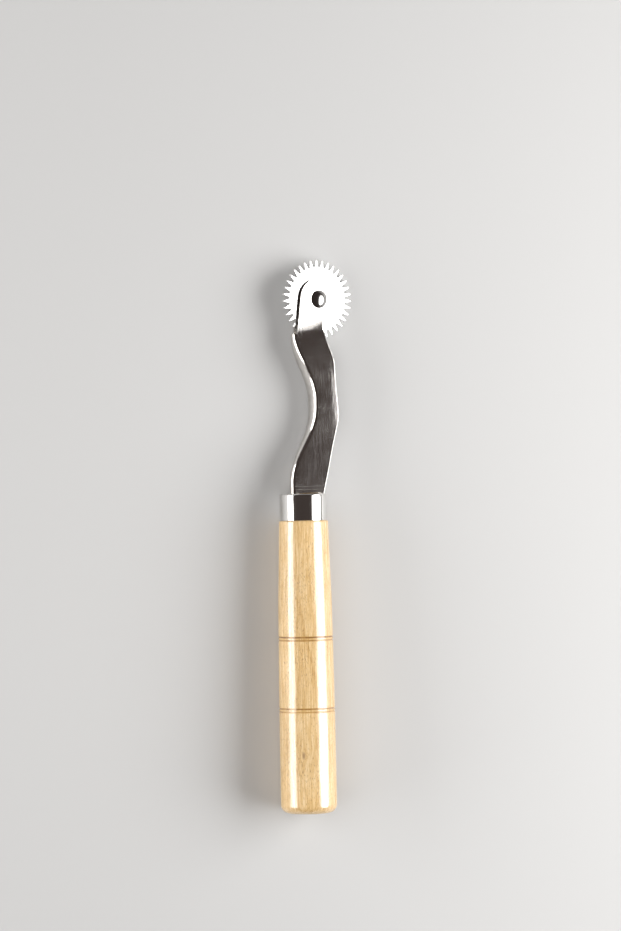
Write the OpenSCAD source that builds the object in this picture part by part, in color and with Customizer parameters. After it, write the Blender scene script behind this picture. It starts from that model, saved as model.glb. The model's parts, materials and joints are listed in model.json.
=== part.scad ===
// Tracing wheel: a toothed steel wheel that spins on a rivet between the two ears of a folded
// sheet-metal fork. The fork's tang is driven into a turned wooden handle through a metal ferrule.
// Each piece is drawn in the tool's own axes, then the tool is laid down as it rests on a table:
//   tool X  across the fork, from its closed spine (-) to its open side (+)
//   tool Y  along the handle, from the butt (0) to the wheel
//   tool Z  along the rivet

/* [Handle] */
// Length of the wood from the butt to the ferrule
handle_l = 82; // [74:0.5:95]
// Diameter of the wood at the butt
butt_d = 15.86; // [15.2:0.1:19]
// Diameter of the wood where the straight front taper begins
front_d = 15.12; // [14.8:0.02:15.2]
// Diameter of the wood where it meets the ferrule
shoulder_d = 13.9; // [13.6:0.1:14.4]
// Radius of the rounded edge at the butt
butt_round = 2.5; // [0.5:0.1:4]
// Distance from the butt to the middle of the first pair of burnt rings
ring_low = 29; // [15:0.5:35]
// Distance from the butt to the middle of the second pair of burnt rings
ring_high = 49; // [40:0.5:55]

/* [Ferrule] */
// Outside diameter of the ferrule
ferrule_d = 13.3; // [13:0.1:13.4]
// Length of the ferrule
ferrule_l = 7.5; // [6.5:0.1:9]
// Wall of the ferrule
ferrule_wall = 0.5; // [0.3:0.05:0.6]

/* [Fork] */
// Thickness of the sheet
sheet = 0.7; // [0.5:0.05:0.8]
// Distance from the butt to the rivet
axle_y = 144; // [143:0.5:146]
// Distance of the rivet from the handle's axis, towards the fork's open side
axle_x = 5.65; // [5.2:0.05:6]
// Radius of the ears' round ends
ear_r = 5.95; // [5:0.05:6.5]
// Outside thickness of the fork at the finger rest
belly_t = 5.3; // [3.6:0.1:6.5]
// Depth of the finger rest's hollow in the spine
rest_depth = 5.7; // [3:0.1:6.5]
// Length of the tang inside the wood
tang_l = 36; // [24:1:42]

/* [Wheel] */
// Diameter over the teeth
wheel_d = 22; // [18:0.5:22.5]
// Number of teeth
teeth = 35; // [24:1:44]
// Depth of the teeth
tooth_depth = 2; // [1:0.1:2.4]
// Thickness of the wheel
wheel_t = 0.8; // [0.6:0.1:1]
// Gap between the wheel and each ear
side_gap = 0.3; // [0.15:0.05:0.4]

/* [Rivet] */
// Diameter of the shank
shank_d = 2.5; // [2:0.1:3]
// Diameter of the formed head
head_d = 5.1; // [4:0.1:5.5]
// Height of the formed head
head_h = 1; // [0.6:0.1:1.4]
// Radial clearance of the wheel on the shank
run_gap = 0.05; // [0.02:0.01:0.1]

/* [Hidden] */

// A round shape with more than 12 sides is a true circle.
round_fn = 96;
past = 1;

// Handle: a crowned grip and then a front taper, hollowed by a hair so that it stands on both its ends
front_y = handle_l - 22;
edge_y = handle_l - 0.5;
edge_round = 0.15;
front_hollow = 0.04;
taper_steps = 8;
round_steps = 8;
ring_pair_gap = 0.9;
ring_groove_d = 0.36;
tenon_l = ferrule_l - 0.9;
tenon_d = ferrule_d - 2 * ferrule_wall;

// Ferrule: its mouth is turned in a little.
lip_in = 0.35;
lip_l = 0.4;

// Fork, along the tool's length
mouth_y = handle_l + ferrule_l;
rest_start_y = mouth_y + 3;
rest_low_y = 113;
rest_high_y = 115.5;
slot_y = axle_y - 9.8;
apex_y = 110.5;
shoulder_y = 124.5;
tang_y = handle_l - tang_l;

// Fork, across the tool
spine_x = -3.95;
neck_x = -2.68;
ear_left_x = -1.55;
mouth_right_x = 5.15;
apex_x = 10.1;
shoulder_x = 8.8;
notch_x = axle_x + 0.55;
tang_w = 5;
barb = 0.5;
barbs = 4;
barb_start = 5;
barb_rise = 2.5;
wide_y = handle_l + 2;
barb_pitch = (wide_y - past - tang_y - barb_start) / barbs;
tang_inner_x = sheet + barb - tang_w / 2;
far = 30;
edge_steps = 14;

// Fork, through its thickness
ear_t = wheel_t + 2 * side_gap + 2 * sheet;
flare_top_y = axle_y - 8;
flare_low_y = 123.5;
close_top_y = 117;
close_low_y = 96;

// Wheel
tip_w = 0.3;
root_w = 1.15;

// Rivet's closed end
tail_d = 4.2;
tail_h = 0.7;

// Smooth step from 0 to 1 as t goes from 0 to 1, level at both ends
function ease(t) = (1 - cos(180 * min(1, max(0, t)))) / 2;

// Slope of ease()
function ease_slope(t) = t <= 0 || t >= 1 ? 0 : PI / 2 * sin(180 * t);

// Radius of the crowned grip at a distance y from the butt
butt_r = butt_d / 2;
function grip_r(y) = butt_r - (butt_d - front_d) / 2 * pow(y / front_y, 2);

// Lying down: the front taper lies along the surface, so the tool leans nose down by its slope.
pitch = atan((front_d - shoulder_d) / 2 / (edge_y - front_y));
function taper_r(y) = front_d / 2 - (y - front_y) * tan(pitch);

// The tool also rolls until the wheel's rim touches the surface; the roll is found by halving.
function rim_depth(roll) =
    axle_x * sin(roll) + wheel_d / 2 * norm([sin(roll), tan(pitch)]) + wheel_t / 2 * cos(roll);
function find_roll(low, high, turns) =
    let (roll = (low + high) / 2)
    turns == 0
    ? roll
    : rim_depth(roll) < taper_r(axle_y)
        ? find_roll(roll, high, turns - 1)
        : find_roll(low, roll, turns - 1);
lying_roll = find_roll(0, 60, 30);
right_x = (axle_x + wheel_d / 2) * cos(lying_roll) + wheel_t / 2 * sin(lying_roll);
middle_x = (right_x - butt_r) / 2;
middle_y = (axle_y + wheel_d / 2) / 2 * cos(pitch);
butt_z = taper_r(0) * cos(pitch);

// The spine runs out from the ferrule, dips into the finger rest and comes back to the slot.
rest_x = neck_x + rest_depth;
function spine_at(y) =
    y < rest_high_y
    ? spine_x + (rest_x - spine_x) * ease((y - rest_start_y) / (rest_low_y - rest_start_y))
    : rest_x - rest_depth * ease((y - rest_high_y) / (slot_y - rest_high_y));
function spine_slope(y) =
    y < rest_high_y
    ? (rest_x - spine_x) / (rest_low_y - rest_start_y)
        * ease_slope((y - rest_start_y) / (rest_low_y - rest_start_y))
    : -rest_depth / (slot_y - rest_high_y) * ease_slope((y - rest_high_y) / (slot_y - rest_high_y));

// Inner face of the spine, one sheet in from the outer one
function inner_spine(y) =
    let (k = sheet / norm([1, spine_slope(y)]))
    [spine_at(y) + k, y - k * spine_slope(y)];

// Half of the fork's outside thickness
function half_t(y) =
    ear_t / 2 + (belly_t - ear_t) / 2
    * (y > close_top_y
        ? ease((flare_top_y - y) / (flare_top_y - flare_low_y))
        : ease((y - close_low_y) / (close_top_y - close_low_y)));

// Heights at which the curved edges get a point
function steps(low, high, n) = [for (i = [0:n]) low + (high - low) * i / n];

// Fillet between the neck's open edge and the round ear
fillet_r = 2.5;
fillet_x = notch_x + fillet_r;
fillet_y = axle_y - sqrt(pow(ear_r + fillet_r, 2) - pow(fillet_x - axle_x, 2));
fillet_start = atan2(axle_y - fillet_y, axle_x - fillet_x);

// Angle on the ear's round end at which its straight edge runs in
ear_corner = [ear_left_x - axle_x, slot_y - axle_y];
touch_a = 360 + atan2(ear_corner[1], ear_corner[0]) - acos(ear_r / norm(ear_corner));

// One side of the tang, from its point up, with barbs that grip the wood against pulling out
function tang_side(side) = [
    for (i = [0:barbs - 1])
        let (y = tang_y + barb_start + i * barb_pitch)
        each [
            [side * tang_w / 2, y],
            [side * (tang_w / 2 - barb), y + 0.1],
            [side * (tang_w / 2 - barb), y + barb_pitch - barb_rise]
        ]
];

function backwards(list) = [for (i = [len(list) - 1:-1:0]) list[i]];

// Moves a piece from the tool's axes to where it lies
module lay_down() {
    translate([-middle_x, -middle_y, butt_z])
        rotate([-pitch, 0, 0])
            rotate([0, lying_roll, 0])
                children();
}

// Turns a profile of radius and length about the handle's axis
module turned() {
    rotate([-90, 0, 0])
        rotate_extrude($fn = round_fn)
            children();
}

// Outline of the fork seen along the rivet
module plate_outline() {
    polygon(concat(
        [[0, tang_y]],
        tang_side(-1),
        [[-tang_w / 2, wide_y - past], [spine_x, wide_y]],
        [for (y = steps(rest_start_y, rest_low_y, edge_steps)) [spine_at(y), y]],
        [for (y = steps(rest_high_y, slot_y, edge_steps)) [spine_at(y), y]],
        [[ear_left_x, slot_y]],
        [for (a = steps(touch_a, fillet_start - 180, 2 * edge_steps))
            [axle_x + ear_r * cos(a), axle_y + ear_r * sin(a)]],
        [for (a = steps(fillet_start, 180, edge_steps / 2)) if (a > fillet_start)
            [fillet_x + fillet_r * cos(a), fillet_y + fillet_r * sin(a)]],
        [for (t = steps(1 / edge_steps, 1, edge_steps))
            [notch_x + (shoulder_x - notch_x) * ease(t), fillet_y + (shoulder_y - fillet_y) * t]],
        [[apex_x, apex_y], [mouth_right_x, mouth_y], [mouth_right_x, wide_y], [tang_w / 2, wide_y - past]],
        backwards(tang_side(1))
    ));
}

// What lies inside the folded sheet, seen along the rivet; the side plates stand above and below it
module channel_outline() {
    polygon(concat(
        [[far, tang_y + barb_start], [tang_inner_x, tang_y + barb_start], [tang_inner_x, wide_y]],
        [[spine_x + sheet, wide_y + sheet]],
        [for (y = steps(rest_start_y, rest_low_y, edge_steps)) inner_spine(y)],
        [for (y = steps(rest_high_y, slot_y, edge_steps)) inner_spine(y)],
        [[-far, slot_y], [-far, axle_y + far], [far, axle_y + far]]
    ));
}

// A solid as wide as needed across the tool, and as thick as the fork less an inset on each face
module fork_thickness(inset) {
    heights = concat(
        [tang_y - past],
        steps(close_low_y, close_top_y, edge_steps),
        steps(flare_low_y, flare_top_y, edge_steps),
        [axle_y + ear_r + past]
    );
    rotate([0, -90, 0])
        linear_extrude(height = 2 * far, center = true)
            polygon(concat(
                [for (y = heights) [half_t(y) - inset, y]],
                [for (y = backwards(heights)) [inset - half_t(y), y]]
            ));
}

// A domed rivet head whose flat face lies at z = 0
module dome(d, h) {
    ball_r = (d * d / 4 + h * h) / (2 * h);
    intersection() {
        translate([0, 0, h - ball_r])
            sphere(r = ball_r, $fn = round_fn);
        cylinder(d = d, h = h, $fn = round_fn);
    }
}

module handle() {
    color("burlywood")
        lay_down()
            difference() {
                turned()
                    polygon(concat(
                        [[0, 0]],
                        [for (a = steps(-90, 0, round_steps))
                            [butt_r - butt_round * (1 - cos(a)), butt_round * (1 + sin(a))]],
                        [for (y = steps(butt_round + past, front_y, taper_steps)) [grip_r(y), y]],
                        [[(front_d + shoulder_d) / 4 - front_hollow, (front_y + edge_y) / 2]],
                        [[shoulder_d / 2, edge_y], [shoulder_d / 2 - edge_round, handle_l]],
                        [[tenon_d / 2, handle_l]],
                        [[tenon_d / 2, handle_l + tenon_l], [0, handle_l + tenon_l]]
                    ));
                for (middle = [ring_low, ring_high], side = [-0.5, 0.5])
                    turned()
                        translate([grip_r(middle), middle + side * ring_pair_gap])
                            circle(d = ring_groove_d, $fn = 16);
                linear_extrude(height = ear_t, center = true)
                    plate_outline();
            }
}

module ferrule() {
    r = ferrule_d / 2;
    color("silver")
        lay_down()
            turned()
                polygon([
                    [r - ferrule_wall, handle_l],
                    [r, handle_l],
                    [r, mouth_y - lip_l],
                    [r - lip_in, mouth_y],
                    [r - ferrule_wall - lip_in, mouth_y],
                    [r - ferrule_wall - lip_in, mouth_y - lip_l],
                    [r - ferrule_wall, mouth_y - 2 * lip_l]
                ]);
}

module fork() {
    color("dimgray")
        lay_down()
            difference() {
                intersection() {
                    linear_extrude(height = 2 * far, center = true)
                        plate_outline();
                    fork_thickness(0);
                }
                intersection() {
                    linear_extrude(height = 2 * far, center = true)
                        channel_outline();
                    fork_thickness(sheet);
                }
                translate([axle_x, axle_y, 0])
                    cylinder(d = shank_d, h = 2 * far, center = true, $fn = round_fn);
            }
}

module wheel() {
    tip_r = wheel_d / 2;
    root_r = tip_r - tooth_depth;
    tip_a = asin(tip_w / 2 / tip_r);
    root_a = asin(root_w / 2 / root_r);
    color("whitesmoke")
        lay_down()
            translate([axle_x, axle_y, -wheel_t / 2])
                linear_extrude(height = wheel_t)
                    difference() {
                        polygon([
                            for (i = [0:teeth - 1])
                                let (a = 90 + i * 360 / teeth)
                                each [
                                    root_r * [cos(a - root_a), sin(a - root_a)],
                                    tip_r * [cos(a - tip_a), sin(a - tip_a)],
                                    tip_r * [cos(a + tip_a), sin(a + tip_a)],
                                    root_r * [cos(a + root_a), sin(a + root_a)]
                                ]
                        ]);
                        circle(r = shank_d / 2 + run_gap, $fn = round_fn);
                    }
}

module rivet() {
    color("gray")
        lay_down()
            translate([axle_x, axle_y, 0]) {
                cylinder(d = shank_d, h = ear_t, center = true, $fn = round_fn);
                translate([0, 0, ear_t / 2])
                    dome(head_d, head_h);
                translate([0, 0, -ear_t / 2])
                    rotate([180, 0, 0])
                        dome(tail_d, tail_h);
            }
}

handle();
ferrule();
fork();
wheel();
rivet();
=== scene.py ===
"""Tracing wheel: toothed wheel, folded sheet fork, ferrule, rivet and turned wooden handle."""

import json
import math

import bmesh
import bpy
from mathutils import Matrix, Vector, noise


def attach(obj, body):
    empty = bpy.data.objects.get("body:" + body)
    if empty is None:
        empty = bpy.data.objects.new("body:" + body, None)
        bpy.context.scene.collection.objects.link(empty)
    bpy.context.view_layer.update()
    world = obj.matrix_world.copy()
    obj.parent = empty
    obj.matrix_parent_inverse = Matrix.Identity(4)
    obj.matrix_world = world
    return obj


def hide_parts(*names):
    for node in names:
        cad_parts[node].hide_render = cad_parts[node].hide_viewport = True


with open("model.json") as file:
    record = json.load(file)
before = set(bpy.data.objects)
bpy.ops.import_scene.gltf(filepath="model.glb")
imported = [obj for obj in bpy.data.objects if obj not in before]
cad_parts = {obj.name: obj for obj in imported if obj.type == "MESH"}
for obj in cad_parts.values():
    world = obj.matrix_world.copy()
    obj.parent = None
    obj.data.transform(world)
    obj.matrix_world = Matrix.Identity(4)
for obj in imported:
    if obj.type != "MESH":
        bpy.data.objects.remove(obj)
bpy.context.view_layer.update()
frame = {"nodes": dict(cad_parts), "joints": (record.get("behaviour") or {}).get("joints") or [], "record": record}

MM = 0.001

# ---------------------------------------------------------------- the tool's own axes
# Pieces are drawn in millimetres in the tool's axes (X across the fork from spine to open side,
# Y along the handle from the butt, Z along the rivet) and are then laid down where the CAD says.
joint = frame["joints"][0]
butt_mount = frame["record"]["mounts"][0]
along = -Vector(butt_mount["axis"]).normalized()
across = along.cross(Vector(joint["axis"])).normalized()
TOOL = Matrix.Translation(Vector(butt_mount["pos_m"])) @ (
    Matrix((across, along, across.cross(along))).transposed().to_4x4()
)
TOOL_MM = TOOL @ Matrix.Scale(MM, 4)
INTO_TOOL = TOOL_MM.inverted()


def extent(node):
    """Lowest and highest corner of a CAD node in the tool's axes, in millimetres."""
    points = [INTO_TOOL @ v.co for v in frame["nodes"][node].data.vertices]
    return Vector(map(min, zip(*points))), Vector(map(max, zip(*points)))


handle_hi = extent("handle")[1]
ferrule_lo, ferrule_hi = extent("ferrule")
fork_lo, fork_hi = extent("fork")
wheel_lo, wheel_hi = extent("wheel")
rivet_lo, rivet_hi = extent("rivet")
axle = INTO_TOOL @ Vector(joint["pos_m"])

# Sizes of the CAD model that its boxes do not give
SHEET = 0.7
SIDE_GAP = 0.3
WALL = 0.5
SHANK_R = 1.25

BUTT_R = handle_hi.x
HANDLE_L = ferrule_lo.y
MOUTH_Y = ferrule_hi.y
FERRULE_R = ferrule_hi.x
WHEEL_T = wheel_hi.z - wheel_lo.z
EAR_HALF = WHEEL_T / 2 + SIDE_GAP + SHEET
EAR_R = fork_hi.y - axle.y


def ease(t):
    """Smooth step from 0 to 1, level at both ends."""
    return (1 - math.cos(math.pi * min(1, max(0, t)))) / 2


def mix(a, b, t):
    """The value a share t of the way from a to b."""
    return a + (b - a) * t


def spread(low, high, count):
    """Evenly spaced values from low to high, both included."""
    return [mix(low, high, i / count) for i in range(count + 1)]


# ---------------------------------------------------------------- mesh helpers
def new_piece(name, bm, body, node, material, bevel=0.0, angle=40, smooth=35, extra=None, keen=None):
    """Lays a mesh down, rounds its sharp edges and hands it to the frame in place of its CAD node.

    keen(position) says how much of the bevel an edge gets; edges flatter than angle get none.
    Shading breaks at edges sharper than smooth. extra holds values by place for the materials.
    """
    bmesh.ops.recalc_face_normals(bm, faces=bm.faces)
    weight = bm.edges.layers.float.new("bevel_weight_edge")
    for edge in bm.edges:
        if edge.calc_face_angle(0) > math.radians(angle):
            middle = (edge.verts[0].co + edge.verts[1].co) / 2
            edge[weight] = keen(middle) if keen else 1
    mesh = bpy.data.meshes.new(name)
    bm.to_mesh(mesh)
    bm.free()
    piece = bpy.data.objects.new(name, mesh)
    bpy.context.scene.collection.objects.link(piece)
    if bevel:
        soften = piece.modifiers.new("soften", "BEVEL")
        soften.width = bevel
        soften.segments = 3
        soften.limit_method = "WEIGHT"
        soften.use_clamp_overlap = True
        evaluated = piece.evaluated_get(bpy.context.evaluated_depsgraph_get())
        finished = bpy.data.meshes.new_from_object(evaluated)
        piece.modifiers.clear()
        piece.data = finished
        bpy.data.meshes.remove(mesh)
        mesh = finished
        mesh.name = name
    place = mesh.attributes.new("tool", "FLOAT_VECTOR", "POINT")
    for v, value in zip(mesh.vertices, place.data):
        value.vector = v.co
    for key, value_at in (extra or {}).items():
        field = mesh.attributes.new(key, "FLOAT", "POINT")
        for v, value in zip(mesh.vertices, field.data):
            value.value = value_at(v.co)
    mesh.transform(TOOL_MM)
    mesh.polygons.foreach_set("use_smooth", [True] * len(mesh.polygons))
    mesh.set_sharp_from_angle(angle=math.radians(smooth))
    mesh.update()
    mesh.materials.clear()
    mesh.materials.append(material)
    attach(piece, body)
    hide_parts(node)
    return piece


def lathe(bm, profile, sides, centre=(0, 0), axis="Y", wave=None):
    """Turns (radius, height) points about axis, less wave(angle, height). Returns the rings.

    A radius of zero becomes a single point.
    """
    rings = []
    for r, h in profile:
        ring = []
        for k in range(1 if r < 1e-6 else sides):
            a = 2 * math.pi * k / sides
            reach = r if wave is None else r - wave(a, h)
            u, v = centre[0] + reach * math.cos(a), centre[1] + reach * math.sin(a)
            ring.append(bm.verts.new((u, h, v) if axis == "Y" else (u, v, h)))
        rings.append(ring)
    for low, high in zip(rings, rings[1:]):
        join_rings(bm, low, high)
    return rings


def join_rings(bm, low, high):
    """Faces between two rings; a ring of one point makes triangles."""
    n = max(len(low), len(high))
    for k in range(n):
        m = (k + 1) % n
        corners = [low[k % len(low)], low[m % len(low)], high[m % len(high)], high[k % len(high)]]
        face = []
        for v in corners:
            if v not in face:
                face.append(v)
        if len(face) > 2:
            bm.faces.new(face)


def arc(cx, cy, r, a0, a1, steps):
    """Points of an arc, angles in degrees."""
    return [
        (cx + r * math.cos(math.radians(a)), cy + r * math.sin(math.radians(a)))
        for a in spread(a0, a1, steps)
    ]


def thicken(bm, outer, inner, faces):
    """A closed sheet: faces over the outer points, their inner twins, and a rim at open edges."""
    top = [bm.verts.new(p) for p in outer]
    low = [bm.verts.new(p) for p in inner]
    edges = {}
    for f in faces:
        bm.faces.new([top[i] for i in f])
        bm.faces.new([low[i] for i in reversed(f)])
        edges.update(dict.fromkeys(zip(f, f[1:] + f[:1])))
    for i, j in edges:
        if (j, i) not in edges:
            bm.faces.new([top[j], top[i], low[i], low[j]])


# ---------------------------------------------------------------- materials
def graph(name, rough=0.5, metallic=0.0, **values):
    """A material with one Principled shader, and a helper that adds and links nodes."""
    material = bpy.data.materials.new(name)
    material.use_nodes = True
    nodes, links = material.node_tree.nodes, material.node_tree.links
    shader = nodes["Principled BSDF"]
    shader.inputs["Roughness"].default_value = rough
    shader.inputs["Metallic"].default_value = metallic
    for key, value in values.items():
        shader.inputs[key.replace("_", " ")].default_value = value

    def add(kind, inputs=None, **settings):
        node = nodes.new(kind)
        for key, value in settings.items():
            setattr(node, key, value)
        for key, value in (inputs or {}).items():
            if isinstance(value, bpy.types.NodeSocket):
                links.new(value, node.inputs[key])
            else:
                node.inputs[key].default_value = value
        return node

    return material, shader, add, links


def ramp(add, source, stops):
    """A colour ramp over a 0..1 value."""
    node = add("ShaderNodeValToRGB", {"Fac": source})
    band = node.color_ramp
    while len(band.elements) < len(stops):
        band.elements.new(0.5)
    for element, (place, colour) in zip(band.elements, stops):
        element.position = place
        element.color = (*colour, 1)
    return node.outputs["Color"]


def grey(v):
    return (v, v, v)


def tool_place(add, scale, offset=(0, 0, 0)):
    """The tool's own axes in millimetres, stretched for a texture."""
    place = add("ShaderNodeAttribute", attribute_name="tool")
    return add(
        "ShaderNodeMapping", {"Vector": place.outputs["Vector"], "Scale": scale, "Location": offset}
    ).outputs["Vector"]


def noise_value(add, vector, scale, detail=4, roughness=0.5, distortion=0.0):
    """Soft noise between 0 and 1."""
    return add(
        "ShaderNodeTexNoise",
        {"Vector": vector, "Scale": scale, "Detail": detail, "Roughness": roughness,
         "Distortion": distortion},
    ).outputs["Fac"]


def math_node(add, kind, a, b=0.0, clamp=False):
    node = add("ShaderNodeMath", {0: a, 1: b}, operation=kind)
    node.use_clamp = clamp
    return node.outputs[0]


def weighted_sum(add, *terms):
    """Sum of (value, share) pairs."""
    parts = [math_node(add, "MULTIPLY", value, share) for value, share in terms]
    total = parts[0]
    for part in parts[1:]:
        total = math_node(add, "ADD", total, part)
    return total


def blend_colours(add, kind, factor, a, b):
    """Colour a blended with b; each of the three may be a value or a socket."""
    node = add("ShaderNodeMix", data_type="RGBA", blend_type=kind)
    for socket, value in ((0, factor), (6, a), (7, b)):
        if isinstance(value, bpy.types.NodeSocket):
            node.id_data.links.new(value, node.inputs[socket])
        else:
            node.inputs[socket].default_value = value
    return node.outputs[2]


def scratches(add, across_scale, along_scale, low, high):
    """Fine lines that run along the second stretched axis, as a 0..1 mask."""
    lines = noise_value(add, tool_place(add, (across_scale, along_scale, across_scale)), 1.0, 3, 0.6)
    return ramp(add, lines, [(low, grey(0)), (high, grey(1))])


def bump(add, height, strength, distance, normal=None):
    """A normal roughened by a height, distance in millimetres."""
    inputs = {"Height": height, "Strength": strength, "Distance": distance * MM}
    if normal is not None:
        inputs["Normal"] = normal
    return add("ShaderNodeBump", inputs).outputs["Normal"]


# A small knot just under the wood's surface: its place, the falloff of its swell across and along,
# and how far it pushes fibres and growth rings aside
KNOT_TURN = math.radians(38.5)
KNOT_R = 0.99 * BUTT_R
KNOT = (-KNOT_R * math.sin(KNOT_TURN), 16.5, KNOT_R * math.cos(KNOT_TURN))
KNOT_REACH = (0.3, 0.13, 0.3)
KNOT_PUSH = -0.8
KNOT_RISE = 1.3
# The pith lies far to one side, so the surface shows nearly straight grain.
PITH_OFFSET = (9.0, 0, -15.0)
RINGS_PER_MM = 0.62
RING_DRIFT = 5.0
# What the wood's tone is made of
FIBRE_SHARE = 0.62
RING_SHARE = 0.1
FINE_SHARE = 0.36
PALE_WOOD = (0.88, 0.69, 0.42)
EVEN_WOOD = (0.76, 0.53, 0.26)
DEEP_WOOD = (0.62, 0.385, 0.14)
DARK_WOOD = (0.42, 0.23, 0.065)
PORE_COLOUR = (0.27, 0.15, 0.06)
CORE_COLOUR = (0.3, 0.17, 0.07)
SCORCHED = (0.62, 0.36, 0.1)
CHARRED = (0.24, 0.115, 0.025)
# Fine lines on metal
LINE_COLOUR = (0.8, 0.78, 0.75)


def wood_material():
    material, shader, add, links = graph(
        "turned_beech", 0.4, Coat_Weight=1.0, Coat_Roughness=0.15, Coat_IOR=1.9
    )
    # The grain swells round a small knot.
    here = tool_place(add, (1, 1, 1))
    to_knot = add("ShaderNodeVectorMath", {0: here, 1: KNOT}, operation="SUBTRACT").outputs[0]
    squeezed = add(
        "ShaderNodeVectorMath", {0: to_knot, 1: KNOT_REACH}, operation="MULTIPLY"
    ).outputs[0]
    near = add("ShaderNodeVectorMath", {0: squeezed}, operation="LENGTH").outputs["Value"]
    swell = ramp(add, near, [(0, grey(1)), (0.3, grey(0.6)), (1, grey(0))])
    push = add(
        "ShaderNodeVectorMath", {0: to_knot, "Scale": math_node(add, "MULTIPLY", swell, KNOT_PUSH)},
        operation="SCALE",
    ).outputs[0]
    push = add("ShaderNodeVectorMath", {0: push, 1: (1, 0, 1)}, operation="MULTIPLY").outputs[0]
    parted = add("ShaderNodeVectorMath", {0: here, 1: push}, operation="ADD").outputs[0]
    drift = noise_value(add, tool_place(add, (0.16, 0.03, 0.16)), 1.0, 3, 0.5)
    # Growth rings round the pith, bent by drift and by the knot
    pith = add(
        "ShaderNodeVectorMath", {0: tool_place(add, (1, 0, 1), PITH_OFFSET)}, operation="LENGTH"
    ).outputs["Value"]
    bent = weighted_sum(add, (pith, 1), (drift, RING_DRIFT), (swell, KNOT_RISE))
    year = math_node(add, "FRACT", math_node(add, "MULTIPLY", bent, RINGS_PER_MM))
    ring = ramp(
        add, year,
        [(0, grey(0.5)), (0.1, grey(0.1)), (0.65, grey(0.35)), (0.93, grey(0.9)), (1, grey(0.5))],
    )
    drawn = add("ShaderNodeMapping", {"Vector": parted, "Scale": (1, 0.05, 1)}).outputs["Vector"]
    fibre = noise_value(add, drawn, 2.6, 7, 0.66, 0.25)
    fine = noise_value(add, drawn, 9.0, 4, 0.7)
    tone = weighted_sum(add, (fibre, FIBRE_SHARE), (ring, RING_SHARE), (fine, FINE_SHARE))
    colour = ramp(
        add, tone,
        [(0.38, PALE_WOOD), (0.49, EVEN_WOOD), (0.59, DEEP_WOOD), (0.72, DARK_WOOD)],
    )
    # Short open pores, denser in some places than in others.
    specks = noise_value(add, tool_place(add, (1, 0.2, 1)), 5.6, 2, 0.5)
    crowd = noise_value(add, tool_place(add, (0.12, 0.05, 0.12), (3, 8, 5)), 1.0, 2, 0.5)
    speck = math_node(add, "ADD", specks, math_node(add, "MULTIPLY", crowd, 0.24))
    pores = ramp(add, speck, [(0.72, grey(0)), (0.79, grey(1))])
    pore_share = math_node(add, "MULTIPLY", pores, 0.6)
    colour = blend_colours(add, "MIX", pore_share, colour, (*PORE_COLOUR, 1))
    core = ramp(add, near, [(0.06, grey(0.8)), (0.17, grey(0))])
    colour = blend_colours(add, "MIX", core, colour, (*CORE_COLOUR, 1))
    # Burnt rings, uneven round the handle.
    burn = add("ShaderNodeAttribute", attribute_name="burn").outputs["Fac"]
    patchy = noise_value(add, here, 0.9, 3, 0.6)
    patchy = ramp(add, patchy, [(0.3, grey(0.55)), (0.65, grey(1))])
    burn = math_node(add, "MULTIPLY", burn, patchy, clamp=True)
    charred = ramp(add, burn, [(0.15, SCORCHED), (0.8, CHARRED)])
    colour = blend_colours(add, "MIX", ramp(add, burn, [(0, grey(0)), (0.5, grey(1))]), colour, charred)
    # Handling has left the wood a little darker in places.
    hands = noise_value(add, tool_place(add, (0.09, 0.05, 0.09), (1, 2, 7)), 1.0, 3, 0.5)
    hands = ramp(add, hands, [(0.35, grey(1)), (0.75, grey(0.88))])
    colour = blend_colours(add, "MULTIPLY", 1.0, colour, hands)
    links.new(colour, shader.inputs["Base Color"])
    rough = ramp(add, tone, [(0.35, grey(0.36)), (0.7, grey(0.56))])
    rough = math_node(add, "ADD", rough, math_node(add, "MULTIPLY", pores, 0.2))
    links.new(rough, shader.inputs["Roughness"])
    relief = math_node(add, "SUBTRACT", math_node(add, "MULTIPLY", fine, 0.5), pores)
    relief = math_node(add, "ADD", relief, math_node(add, "MULTIPLY", fibre, -0.5))
    links.new(bump(add, relief, 0.35, 0.03), shader.inputs["Normal"])
    return material


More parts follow.
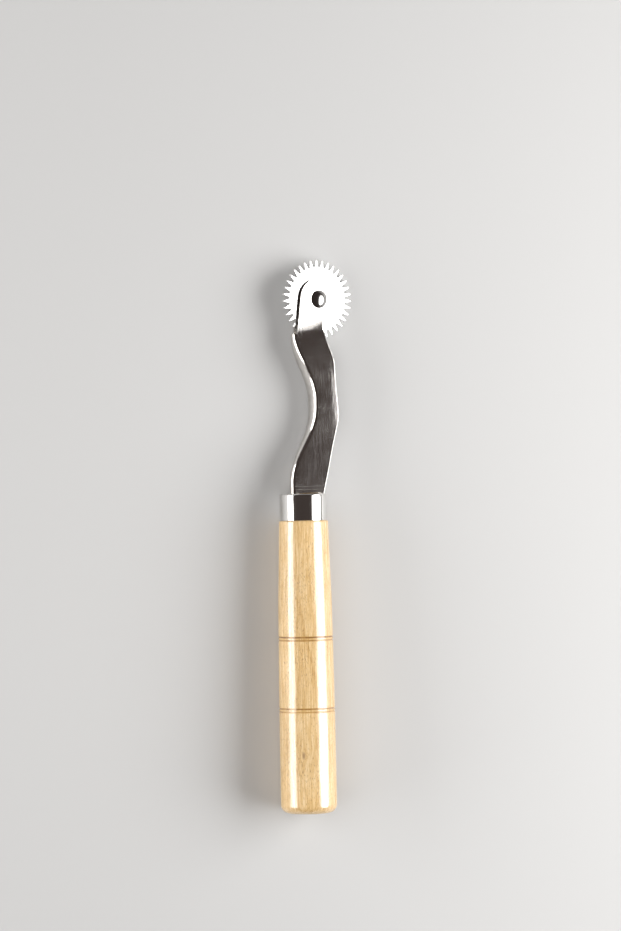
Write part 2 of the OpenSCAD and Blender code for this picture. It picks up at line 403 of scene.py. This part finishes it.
def metal(
    name, tint, dull, rough_low, rough_high, patch=0.25, line=(5.0, 0.12), speck=0.3, creases=(), drawn=0.0
):
    """Plated metal: cloudy haze, fine lines, smudges, and brighter metal where it is worn.

    patch is the scale of the clouds, line the scales of the lines across and along the tool, speck
    the share of small smudges, creases the places of pressed lines and drawn the press marks' depth.
    """
    material, shader, add, links = graph(name, rough_low, 1.0)
    here = tool_place(add, (1, 1, 1))
    cloud = noise_value(add, here, patch, 5, 0.6)
    freckle = noise_value(add, here, 3.4, 3, 0.65)
    haze = weighted_sum(add, (cloud, 1 - speck), (freckle, speck))
    colour = ramp(add, haze, [(0.36, tint), (0.64, dull)])
    lines = scratches(add, line[0], line[1], 0.56, 0.72)
    line_share = math_node(add, "MULTIPLY", lines, 0.3)
    colour = blend_colours(add, "MULTIPLY", line_share, colour, (*LINE_COLOUR, 1))
    worn = add("ShaderNodeAttribute", attribute_name="worn").outputs["Fac"]
    bright = tuple(min(1, c * 1.12) for c in tint) + (1,)
    colour = blend_colours(add, "MIX", worn, colour, bright)
    links.new(colour, shader.inputs["Base Color"])
    rough = ramp(add, haze, [(0.36, grey(rough_low)), (0.66, grey(rough_high))])
    rough = math_node(add, "ADD", rough, math_node(add, "MULTIPLY", lines, 0.06))
    links.new(rough, shader.inputs["Roughness"])
    fine = bump(add, lines, 0.12, 0.004)
    if drawn:
        # Long shallow marks from the press, which make the edges of reflections waver.
        marks = noise_value(add, tool_place(add, (1.7, 0.22, 1.7)), 1.0, 2, 0.5)
        fine = bump(add, marks, 1.0, drawn, fine)
    for y in creases:
        # A faint line across the sheet, left by the jaw that pushed it home.
        split = add("ShaderNodeSeparateXYZ", {0: here})
        away = math_node(add, "ABSOLUTE", math_node(add, "SUBTRACT", split.outputs["Y"], y))
        ridge = ramp(add, math_node(add, "DIVIDE", away, 0.16), [(0, grey(1)), (1, grey(0))])
        fine = bump(add, ridge, 0.5, 0.02, fine)
    links.new(fine, shader.inputs["Normal"])
    return material


WOOD = wood_material()
NICKEL = metal("nickel_plate", (0.87, 0.86, 0.84), (0.79, 0.78, 0.76), 0.06, 0.11, line=(0.25, 7.0))
SHEET_STEEL = metal(
    "plated_sheet", (0.86, 0.83, 0.80), (0.60, 0.57, 0.54), 0.06, 0.15,
    line=(3.6, 1.3), speck=0.5, creases=(90.7, 91.6), drawn=0.009,
)
WHEEL_STEEL = metal("stamped_wheel", (0.88, 0.88, 0.87), (0.80, 0.80, 0.79), 0.2, 0.3, line=(3.0, 0.9))
RIVET_STEEL = metal("rivet_steel", (0.55, 0.54, 0.53), (0.38, 0.37, 0.36), 0.09, 0.18, patch=0.8)


# ---------------------------------------------------------------- handle
# The sizes repeat the CAD's. A ring pair is its middle's distance from the butt and its darkness.
FRONT_Y = HANDLE_L - 22
TAPER_END_Y = HANDLE_L - 0.5
FRONT_HOLLOW = 0.04
FRONT_R = 7.56
SHOULDER_R = 6.95
BUTT_ROUND = 2.5
SHOULDER_ROUND = 0.45
TENON_R = FERRULE_R - WALL
TENON_END = handle_hi.y
RING_PAIRS = ((29.0, 0.8), (49.0, 1.0))
PAIR_GAP = 0.9
GROOVE_HALF = 0.24
GROOVE_DEPTH = 0.12
# Char spreads a little past the upper and the lower groove of a pair, and is weaker in the lower.
UPPER_SPREAD = 0.27
LOWER_SPREAD = 0.24
LOWER_CHAR = 0.72
BETWEEN_CHAR = 0.3
BETWEEN_EDGE = 0.12
SIDES = 144


def wood_r(y):
    """Radius of the wood: a crowned grip, then a front taper that is hollow by a hair."""
    if y < FRONT_Y:
        return BUTT_R - (BUTT_R - FRONT_R) * (y / FRONT_Y) ** 2
    t = (y - FRONT_Y) / (TAPER_END_Y - FRONT_Y)
    return mix(FRONT_R, SHOULDER_R, t) - FRONT_HOLLOW * math.sin(math.pi * min(1, t))


def ring_places():
    """Every groove's distance from the butt."""
    return [y + side * PAIR_GAP / 2 for y, _ in RING_PAIRS for side in (-1, 1)]


def burn_at(co):
    """Char in the grooves, darker in the upper one of a pair, and scorched wood between them."""
    most = 0
    for middle, dark in RING_PAIRS:
        inside = PAIR_GAP / 2 + BETWEEN_EDGE - abs(co.y - middle)
        between = BETWEEN_CHAR * ease(inside / (2 * BETWEEN_EDGE))
        upper = math.exp(-(((co.y - middle - PAIR_GAP / 2) / UPPER_SPREAD) ** 2))
        lower = LOWER_CHAR * math.exp(-(((co.y - middle + PAIR_GAP / 2) / LOWER_SPREAD) ** 2))
        most = max(most, dark * between, dark * upper, dark * lower)
    return most


def slot_section(left, right, half_z, y):
    """Points round a rectangle, as many as round the wood, with one at each corner."""
    points = []
    middle = (left + right) / 2
    reach = (right - left) / 2
    corner = math.atan2(half_z, reach)
    for k in range(SIDES):
        a = 2 * math.pi * k / SIDES
        step = math.pi / SIDES
        for exact in (corner, math.pi - corner, math.pi + corner, 2 * math.pi - corner):
            if abs(a - exact) <= step:
                a = exact
        c, s = math.cos(a), math.sin(a)
        t = min(reach / abs(c) if abs(c) > 1e-9 else 1e9, half_z / abs(s) if abs(s) > 1e-9 else 1e9)
        points.append((middle + t * c, y, t * s))
    return points


def build_handle():
    bm = bmesh.new()
    flat_r = BUTT_R - BUTT_ROUND
    profile = [(r, 0) for r in spread(0, flat_r, 6)]
    profile += arc(flat_r, BUTT_ROUND, BUTT_ROUND, -90, 0, 12)[1:]
    levels = spread(BUTT_ROUND + 0.8, HANDLE_L - 0.9, 64)
    # The grooves get levels of their own, in place of the even ones nearby.
    offsets = (0.05, 0.14, GROOVE_HALF, 0.32, 0.43, 0.9)
    near = [-d for d in offsets[::-1]] + list(offsets)
    for y in ring_places():
        levels = [v for v in levels if abs(v - y) > 0.44] + [y + d for d in near]
    for y in sorted(set(round(v, 3) for v in levels)):
        cut = max(0, max(1 - ((y - g) / GROOVE_HALF) ** 2 for g in ring_places()))
        profile.append((wood_r(y) - GROOVE_DEPTH * math.sqrt(cut), y))
    edge_r = wood_r(HANDLE_L - SHOULDER_ROUND)
    profile += arc(edge_r - SHOULDER_ROUND, HANDLE_L - SHOULDER_ROUND, SHOULDER_ROUND, 0, 90, 6)
    profile += [(TENON_R, HANDLE_L), (TENON_R, TENON_END - 0.4), (TENON_R - 0.4, TENON_END)]

    def uneven(a, h):
        """Sanding leaves the wood very slightly out of round."""
        if h > HANDLE_L - 0.01 or h < 0.01:
            return 0
        return 0.02 * (1 + noise.noise(Vector((2 * math.cos(a), h * 0.09, 2 * math.sin(a)))))

    last = lathe(bm, profile, SIDES, wave=uneven)[-1]
    # The tang's slot narrows to a thin end, which is closed by a row of quads.
    tang_rows = [(SPINE_X, MOUTH_RIGHT_X, TENON_END), (SPINE_X, MOUTH_RIGHT_X, WIDE_Y)]
    tang_rows += [(-TANG_HALF, TANG_HALF, WIDE_Y - 1), (-TANG_HALF, TANG_HALF, TANG_Y + BARB_START)]
    tang_rows += [(-0.2, 0.2, TANG_Y)]
    for left, right, y in tang_rows:
        ring = [bm.verts.new(p) for p in slot_section(left, right, EAR_HALF, y)]
        join_rings(bm, last, ring)
        last = ring
    for k in range(1, SIDES // 2):
        a, b = last[k], last[(k + 1) % SIDES]
        c, d = last[SIDES - k - 1], last[SIDES - k]
        if k < SIDES // 2 - 1:
            bm.faces.new([a, b, c, d])
    bm.faces.new([last[SIDES - 1], last[0], last[1]])
    bm.faces.new([last[SIDES // 2 - 1], last[SIDES // 2], last[SIDES // 2 + 1]])
    piece = new_piece("turned_handle", bm, "holder", "handle", WOOD, smooth=40, extra={"burn": burn_at})
    return piece


# ---------------------------------------------------------------- ferrule
# The lip repeats the CAD's. The edges are rounded here.
LIP_IN = 0.35
LIP_L = 0.4
BACK_ROUND = 0.14
MOUTH_ROUND = 0.55
LIP_ROUND = 0.12


def build_ferrule():
    bm = bmesh.new()
    inner = FERRULE_R - WALL
    lip = inner - LIP_IN
    low, high = HANDLE_L, MOUTH_Y
    profile = [(inner, low), (FERRULE_R - BACK_ROUND, low)]
    profile += arc(FERRULE_R - BACK_ROUND, low + BACK_ROUND, BACK_ROUND, -90, 0, 4)[1:]
    profile += [(FERRULE_R, y) for y in spread(low + 0.4, high - 0.9, 12)]
    profile += arc(FERRULE_R - MOUTH_ROUND, high - MOUTH_ROUND, MOUTH_ROUND, 0, 90, 8)
    profile += arc(lip + LIP_ROUND, high - LIP_ROUND, LIP_ROUND, 90, 180, 4)
    profile += [(lip, high - LIP_L), (inner, high - 2 * LIP_L)]

    def dented(a, h):
        """Drawing leaves the tube very slightly out of round."""
        if h < low + 0.3 or h > high - 0.8:
            return 0
        return 0.006 * (1 + noise.noise(Vector((1.6 * math.cos(a), h * 0.3, 1.6 * math.sin(a) + 9))))

    rings = lathe(bm, profile, SIDES, wave=dented)
    join_rings(bm, rings[-1], rings[0])
    piece = new_piece("crimped_ferrule", bm, "holder", "ferrule", NICKEL, smooth=50)
    return piece


# ---------------------------------------------------------------- fork
# The outline repeats the CAD's. The plates' splay and the rounded edges are added here.
SPINE_X = fork_lo.x
NECK_X = -2.68
EAR_LEFT_X = -1.55
MOUTH_RIGHT_X = 5.15
APEX = (10.1, 110.5)
APEX_ROUND = 0.16
SHOULDER = (8.8, 124.5)
NOTCH_X = axle.x + 0.55
TANG_HALF = 2.5
TANG_LEFT_X = -2.0
TANG_Y = fork_lo.y
BARB_START = 5
BARBS = 4
BARB_PITCH = 8
BARB_LENGTH = 5.5
BARB = 0.5
WIDE_Y = HANDLE_L + 2
REST_START_Y = MOUTH_Y + 3
REST_LOW_Y = 113
REST_HIGH_Y = 115.5
REST_X = NECK_X + 5.7
SLOT_Y = axle.y - 9.8
FLARE_TOP_Y = axle.y - 8
FLARE_LOW_Y = 123.5
CLOSE_TOP_Y = 117
CLOSE_LOW_Y = 96
BELLY_HALF = 2.65
# Degrees that the upper and the lower plate open by, and where along the neck they do
SPLAY = 10.5
LOWER_SPLAY = 3.5
SPLAY_TOP_Y = axle.y - 2.6
SPLAY_RUN = 10
SPLAY_LOW_Y = MOUTH_Y - 2.1
SPLAY_LOW_RUN = 2
# Where the belly's open edge is rolled in, and by how much
ROLL_IN = 0.035
ROLL_LOW_Y = 106
ROLL_LOW_RUN = 6
ROLL_TOP_Y = 126
ROLL_TOP_RUN = 7
BEND_R = EAR_LEFT_X - NECK_X
FILLET_R = 2.5
FILLET_X = NOTCH_X + FILLET_R
FILLET_Y = axle.y - math.sqrt((EAR_R + FILLET_R) ** 2 - (FILLET_X - axle.x) ** 2)


def spine_at(y):
    """Where the spine is: it dips into the finger rest and comes back to the ears."""
    if y < REST_HIGH_Y:
        return SPINE_X + (REST_X - SPINE_X) * ease((y - REST_START_Y) / (REST_LOW_Y - REST_START_Y))
    return REST_X - (REST_X - NECK_X) * ease((y - REST_HIGH_Y) / (SLOT_Y - REST_HIGH_Y))


def spine_stretch(y):
    """How much wider the bend is across the tool where the spine slants."""
    d = 0.01
    return math.hypot(1, (spine_at(y + d) - spine_at(y - d)) / (2 * d))


def spine_half(y):
    """Half of the outside thickness at the spine, widest at the finger rest."""
    if y > CLOSE_TOP_Y:
        t = ease((FLARE_TOP_Y - y) / (FLARE_TOP_Y - FLARE_LOW_Y))
    else:
        t = ease((y - CLOSE_LOW_Y) / (CLOSE_TOP_Y - CLOSE_LOW_Y))
    return mix(EAR_HALF, BELLY_HALF, t)


def splay(y, side):
    """Slope of a plate: the open side of the neck has been sprung wider, mostly on the upper side."""
    most = SPLAY if side > 0 else LOWER_SPLAY
    share = min(ease((SPLAY_TOP_Y - y) / SPLAY_RUN), ease((y - SPLAY_LOW_Y) / SPLAY_LOW_RUN))
    return math.tan(math.radians(most)) * share


def edge_roll(y):
    """How far the open edge of the belly has been rolled back in for the finger."""
    return ROLL_IN * ease((y - ROLL_LOW_Y) / ROLL_LOW_RUN) * ease((ROLL_TOP_Y - y) / ROLL_TOP_RUN)


def softer_min(a, b, r):
    """The smaller of two values, rounded where they cross."""
    return -r * math.log(math.exp(-a / r) + math.exp(-b / r))


def right_at(y):
    """Where the open edge is, from the fillet at the ear down to the mouth of the ferrule."""
    if y > FILLET_Y:
        return FILLET_X - math.sqrt(max(0, FILLET_R**2 - (y - FILLET_Y) ** 2))
    if y > SHOULDER[1]:
        t = (FILLET_Y - y) / (FILLET_Y - SHOULDER[1])
        return mix(NOTCH_X, SHOULDER[0], ease(t))
    if y > MOUTH_Y:
        rising = MOUTH_RIGHT_X + (APEX[0] - MOUTH_RIGHT_X) * (y - MOUTH_Y) / (APEX[1] - MOUTH_Y)
        falling = APEX[0] + (SHOULDER[0] - APEX[0]) * (y - APEX[1]) / (SHOULDER[1] - APEX[1])
        return softer_min(rising, falling, APEX_ROUND)
    return MOUTH_RIGHT_X


PLATE_STEPS = 18
BEND_STEPS = 12
EAR_STEPS = 44
NECK_STEPS = 62
FOOT_STEPS = 6
EAR_RINGS = (0.05, 0.3, 0.62, 0.9, 1)
# Bevel over the top of the ears, and the share of it that other edges get: the ears' outer rims
# at the sides, their inner rims and holes, and the neck
EDGE_BEVEL = 0.5
RIM_KEEN = 0.6
INNER_KEEN = 0.18
NECK_KEEN = 0.07


def plate_row(y, left, right, base, side):
    """Outer and inner points of one plate, from its open edge to its left end at height base.

    The plate leans outwards and rolls in a little along its open edge.
    """
    outer, inner = [], []
    for t in spread(1, 0, PLATE_STEPS):
        # Both ends keep a narrow strip, so the rounded edge does not spoil the flat face's shading.
        x = mix(left + 0.05, right - 0.12, (t * PLATE_STEPS - 1) / (PLATE_STEPS - 2))
        x = right if t == 1 else max(left, x)
        rolled = max(0, 1 - (right - x) / 2) ** 2
        z = base + splay(y, side) * (x - left) - edge_roll(y) * rolled
        outer.append((x, y, side * z))
        inner.append((x, y, side * (z - SHEET)))
    return outer, inner


def half_row(y, spine, right, stretch, half, side):
    """Outer and inner points of a plate and its bend, from the open edge to the middle of the spine."""
    # The bend is part of an ellipse: the plate leaves it at the angle of its splay.
    middle = spine + BEND_R * stretch
    crown = half * 0.96
    lean = math.atan(splay(y, side) * BEND_R * stretch / crown)
    left = middle - BEND_R * stretch * math.sin(lean)
    outer, inner = plate_row(y, left, right, half - crown + crown * math.cos(lean), side)
    for a in spread(lean, math.pi / 2, BEND_STEPS)[1:]:
        for points, inset in ((outer, 0), (inner, SHEET)):
            x = middle - (BEND_R - inset) * stretch * math.sin(a)
            points.append((x, y, side * (half - crown + (crown - inset) * math.cos(a))))
    return outer, inner


def channel_row(y, spine, right, stretch, half):
    """Outer and inner points of the folded sheet at one height, from one open edge to the other."""
    upper = half_row(y, spine, right, stretch, half, 1)
    lower = half_row(y, spine, right, stretch, half, -1)
    return [over + [(over[-1][0], y, 0)] + under[::-1] for over, under in zip(upper, lower)]


def build_fork():
    outer, inner, faces = [], [], []

    def store(row):
        """Keeps a row's outer and inner points and returns their indices."""
        start = len(outer)
        outer.extend(row[0])
        inner.extend(row[1])
        return list(range(start, start + len(row[0])))

    def strip(low, high):
        """Faces between two rows."""
        for i in range(len(low) - 1):
            faces.append([low[i + 1], low[i], high[i], high[i + 1]])

    tang = [(TANG_Y + 2.6, 1.35)]
    for k in range(BARBS):
        y = TANG_Y + BARB_START + BARB_PITCH * k
        tang += [(y, TANG_HALF), (y + 0.1, TANG_HALF - BARB), (y + BARB_LENGTH, TANG_HALF - BARB)]
    tang += [(TANG_Y + BARB_START + BARB_PITCH * BARBS, TANG_HALF)]
    previous = None
    for y, half in tang:
        row = store(channel_row(y, max(TANG_LEFT_X, -half), half, 1, EAR_HALF))
        if previous:
            strip(previous, row)
        previous = row
    for y in [WIDE_Y] + spread(MOUTH_Y - 1.2, SLOT_Y, NECK_STEPS):
        row = store(channel_row(y, spine_at(y), right_at(y), spine_stretch(y), spine_half(y)))
        strip(previous, row)
        previous = row
    # Where the ear's straight left edge touches its round end, and where the fillet does
    corner = Vector((EAR_LEFT_X - axle.x, SLOT_Y - axle.y))
    touch = math.atan2(corner.y, corner.x) + 2 * math.pi - math.acos(EAR_R / corner.length)
    touch_x, touch_y = axle.x + EAR_R * math.cos(touch), axle.y + EAR_R * math.sin(touch)
    start = math.atan2(FILLET_Y - axle.y, FILLET_X - axle.x)
    turn_y = axle.y + EAR_R * math.sin(start)

    def left_at(y):
        """Where the ear's straight left edge is."""
        return mix(EAR_LEFT_X, touch_x, (y - SLOT_Y) / (touch_y - SLOT_Y))

    def ear_points(flat, side):
        """Outer and inner points of one ear, whose foot still shares the neck's splay."""
        rise = [splay(y, side) * max(0, x - left_at(y)) for x, y in flat]
        return [
            [(x, y, side * (EAR_HALF - inset + lift)) for (x, y), lift in zip(flat, rise)]
            for inset in (0, SHEET)
        ]

    for side, neck_end in ((1, previous), (-1, previous[::-1])):
        base = neck_end[:PLATE_STEPS + 1]
        for y in spread(SLOT_Y, turn_y, FOOT_STEPS)[1:]:
            row = store(plate_row(y, left_at(y), right_at(y), EAR_HALF, side))
            if side > 0:
                strip(base, row)
            else:
                strip(row, base)
            base = row
        # The ear's round end: rings between its outline and the rivet's hole.
        rim = arc(axle.x, axle.y, EAR_R, math.degrees(start), math.degrees(touch), EAR_STEPS)[1:]
        left = left_at(turn_y)
        rim += [(mix(touch_x, left, t), mix(touch_y, turn_y, t)) for t in spread(0, 1, 4)[1:-1]]
        rim = store(ear_points(rim, side))
        loop = rim + base[::-1]
        ends = loop
        for t in EAR_RINGS:
            ring = []
            for i in loop:
                x, y = outer[i][:2]
                a = math.atan2(y - axle.y, x - axle.x)
                hole = (axle.x + SHANK_R * math.cos(a), axle.y + SHANK_R * math.sin(a))
                ring.append((mix(x, hole[0], t), mix(y, hole[1], t)))
            ring = store(ear_points(ring, side))
            for k in range(len(loop)):
                m = (k + 1) % len(loop)
                quad = [ends[k], ends[m], ring[m], ring[k]]
                faces.append(quad if side > 0 else quad[::-1])
            ends = ring
    bm = bmesh.new()
    thicken(bm, outer, inner, faces)

    def keen(co):
        """The punch rounded the ears' outer rims, most over the top; the neck's edges are sharper."""
        if co.y < FLARE_TOP_Y + 2:
            return NECK_KEEN
        rim = math.hypot(co.x - axle.x, co.y - axle.y) > EAR_R - 0.3
        if rim and abs(co.z) > EAR_HALF - 0.1:
            return mix(RIM_KEEN, 1, ease((co.y - axle.y) / EAR_R))
        return INNER_KEEN

    piece = new_piece(
        "folded_fork", bm, "holder", "fork", SHEET_STEEL, bevel=EDGE_BEVEL, angle=38, smooth=30, keen=keen
    )
    return piece


# ---------------------------------------------------------------- wheel
TEETH = 35
TOOTH_DEPTH = 2
TIP_R = (wheel_hi.y - wheel_lo.y) / 2
ROOT_R = TIP_R - TOOTH_DEPTH
TIP_W = 0.3
ROOT_W = 1.15
BORE_R = SHANK_R + 0.05
FACE_RINGS = (ROOT_R - 0.55, 6.9, 5, 3.2, 2, BORE_R)


def build_wheel():
    outer, faces = [], []
    half = WHEEL_T / 2

    def point(r, a):
        """Adds a point of the upper face and returns its index."""
        outer.append((axle.x + r * math.cos(a), axle.y + r * math.sin(a), half))
        return len(outer) - 1

    tip_a = math.asin(TIP_W / 2 / TIP_R)
    root_a = math.asin(ROOT_W / 2 / ROOT_R)
    pitch_a = 2 * math.pi / TEETH
    angles, roots = [], []
    for i in range(TEETH):
        a = math.pi / 2 + i * pitch_a
        low, high = point(ROOT_R, a - root_a), point(ROOT_R, a + root_a)
        middle = point(ROOT_R - 0.02, a)
        # Stamping leaves each flank slightly hollow near the root.
        flank = mix(root_a, tip_a, 0.55) * 0.97
        near, far = point(mix(ROOT_R, TIP_R, 0.5), a - flank), point(mix(ROOT_R, TIP_R, 0.5), a + flank)
        tips = [point(TIP_R, a + d * tip_a) for d in (-1, 0, 1)]
        faces.append([low, near, far, high, middle])
        faces.append([near, *tips, far])
        valley = point(ROOT_R - 0.09, a + pitch_a / 2)
        roots += [low, middle, high, valley]
        angles += [a - root_a, a, a + root_a, a + pitch_a / 2]
    ends = roots
    for r in FACE_RINGS:
        ring = [point(r, a) for a in angles]
        for k in range(len(ring)):
            m = (k + 1) % len(ring)
            faces.append([ends[k], ends[m], ring[m], ring[k]])
        ends = ring
    inner = [(x, y, -z) for x, y, z in outer]
    bm = bmesh.new()
    thicken(bm, outer, inner, faces)
    hub = Vector((axle.x, axle.y, 0))

    def worn(co):
        """The teeth are worn bright."""
        return max(0, min(1, ((co - hub).length - ROOT_R - 0.6) / 1.2))

    piece = new_piece(
        "toothed_wheel", bm, "wheel", "wheel", WHEEL_STEEL, bevel=0.09, angle=28, smooth=30,
        extra={"worn": worn},
    )
    return piece


# ---------------------------------------------------------------- rivet
# Radius of the closed end's head, and height of the low rim of both heads
TAIL_R = 2.1
HEAD_RIM = 0.05


def rivet_end(radius, height):
    """Profile of a formed head: a low rim under a domed crown."""
    crown = height - HEAD_RIM
    ball = (radius**2 + crown**2) / (2 * crown)
    points = [(radius - 0.04, 0), (radius - 0.01, 0.02)]
    for r in spread(radius, 0, 18)[:-1]:
        points.append((r, height - ball + math.sqrt(ball**2 - r * r)))
    return points + [(0, height)]


def build_rivet():
    bm = bmesh.new()
    head = rivet_end(rivet_hi.y - axle.y, rivet_hi.z - EAR_HALF)
    tail = rivet_end(TAIL_R, -rivet_lo.z - EAR_HALF)
    profile = [(r, -EAR_HALF - h) for r, h in reversed(tail)]
    profile += [(SHANK_R, -EAR_HALF), (SHANK_R, 0), (SHANK_R, EAR_HALF)]
    profile += [(r, EAR_HALF + h) for r, h in head]
    lathe(bm, profile, 72, centre=(axle.x, axle.y), axis="Z")
    piece = new_piece("formed_rivet", bm, "holder", "rivet", RIVET_STEEL, smooth=40)
    return piece


build_handle()
build_ferrule()
build_fork()
build_wheel()
build_rivet()

# ---------------------------------------------------------------- floor
FLOOR_HALF = 3
FLOOR_COLOUR = (0.52, 0.517, 0.51)
floor_mesh = bmesh.new()
bmesh.ops.create_grid(floor_mesh, x_segments=8, y_segments=8, size=FLOOR_HALF)
floor_data = bpy.data.meshes.new("floor")
floor_mesh.to_mesh(floor_data)
floor_mesh.free()
floor = bpy.data.objects.new("floor", floor_data)
bpy.context.scene.collection.objects.link(floor)
floor_material = graph("pale_floor", 0.7, Base_Color=(*FLOOR_COLOUR, 1))[0]
floor_data.materials.append(floor_material)

# ---------------------------------------------------------------- camera
# The camera looks down on the fork from ROLL towards its spine. LEAN tilts the tool in the picture.
# Distance and view height are in metres; the camera aims at a place on the tool, in millimetres.
ROLL = math.radians(30)
LEAN = math.radians(1.14)
DISTANCE = 1.2
VIEW_HEIGHT = 0.261
AIM_Y = 97.4
AIM_RIGHT = 2.29
axes = TOOL.to_3x3()
to_camera = axes @ Vector((-math.sin(ROLL), 0, math.cos(ROLL)))
tool_up = axes @ Vector((0, 1, 0))
tool_right = tool_up.cross(to_camera)
image_up = math.cos(LEAN) * tool_up + math.sin(LEAN) * tool_right
image_right = math.cos(LEAN) * tool_right - math.sin(LEAN) * tool_up
aim = TOOL_MM @ Vector((0, AIM_Y, 0)) + image_right * AIM_RIGHT * MM
camera = bpy.data.objects.new("camera", bpy.data.cameras.new("camera"))
bpy.context.scene.collection.objects.link(camera)
camera.data.sensor_width = 36
camera.data.lens = 36 * DISTANCE / VIEW_HEIGHT
camera.data.clip_start = 0.05
turn = Matrix((image_right, image_up, to_camera)).transposed().to_4x4()
camera.matrix_world = Matrix.Translation(aim + to_camera * DISTANCE) @ turn
bpy.context.scene.camera = camera

# ---------------------------------------------------------------- light
LIT_Y = 100
lit_point = TOOL_MM @ Vector((0, LIT_Y, 0))


def softbox(name, shape, angle, distance, width, length, power, slide=0.0):
    """An area light at an angle from the camera's direction, turned about the tool's length.

    The length runs along the tool, and slide shifts the light that way.
    """
    a = math.radians(angle)
    out = math.cos(a) * to_camera + math.sin(a) * tool_right
    lamp = bpy.data.objects.new(name, bpy.data.lights.new(name, "AREA"))
    bpy.context.scene.collection.objects.link(lamp)
    lamp.data.shape = shape
    lamp.data.size = width
    lamp.data.size_y = length
    lamp.data.energy = power
    side = tool_up.cross(out)
    spot = lit_point + out * distance + tool_up * slide
    lamp.matrix_world = Matrix.Translation(spot) @ Matrix((side, tool_up, out)).transposed().to_4x4()
    lamp.visible_camera = False
    return lamp


# Two boxes that metal and lacquer mirror, the right one with a dim halo so its edge is soft,
# and a broad lamp overhead that only opens the shadows.
softbox("right_softbox", "ELLIPSE", 69, 0.55, 0.43, 0.7, 4.4, slide=-0.06)
softbox("right_halo", "ELLIPSE", 68, 0.58, 0.56, 0.8, 1.1, slide=-0.06)
softbox("left_softbox", "RECTANGLE", -64, 0.6, 0.3, 0.7, 3.8)
softbox("top_fill", "SQUARE", -12, 1.1, 0.8, 0.8, 5.0).visible_glossy = False

# Round the tool the room is dim overhead and lighter towards the horizon.
HORIZON = (0.4, 0.39, 0.38)
OVERHEAD = (0.058, 0.046, 0.042)
world = bpy.data.worlds.new("studio")
bpy.context.scene.world = world
world.use_nodes = True
tree = world.node_tree
place = tree.nodes.new("ShaderNodeTexCoord")
split = tree.nodes.new("ShaderNodeSeparateXYZ")
tree.links.new(place.outputs["Generated"], split.inputs[0])
fade = tree.nodes.new("ShaderNodeValToRGB")
fade.color_ramp.elements[0].position = 0.16
fade.color_ramp.elements[0].color = (*HORIZON, 1)
fade.color_ramp.elements[1].position = 0.36
fade.color_ramp.elements[1].color = (*OVERHEAD, 1)
tree.links.new(split.outputs["Z"], fade.inputs[0])
tree.links.new(fade.outputs[0], tree.nodes["Background"].inputs["Color"])
bpy.context.scene.view_settings.view_transform = "Standard"
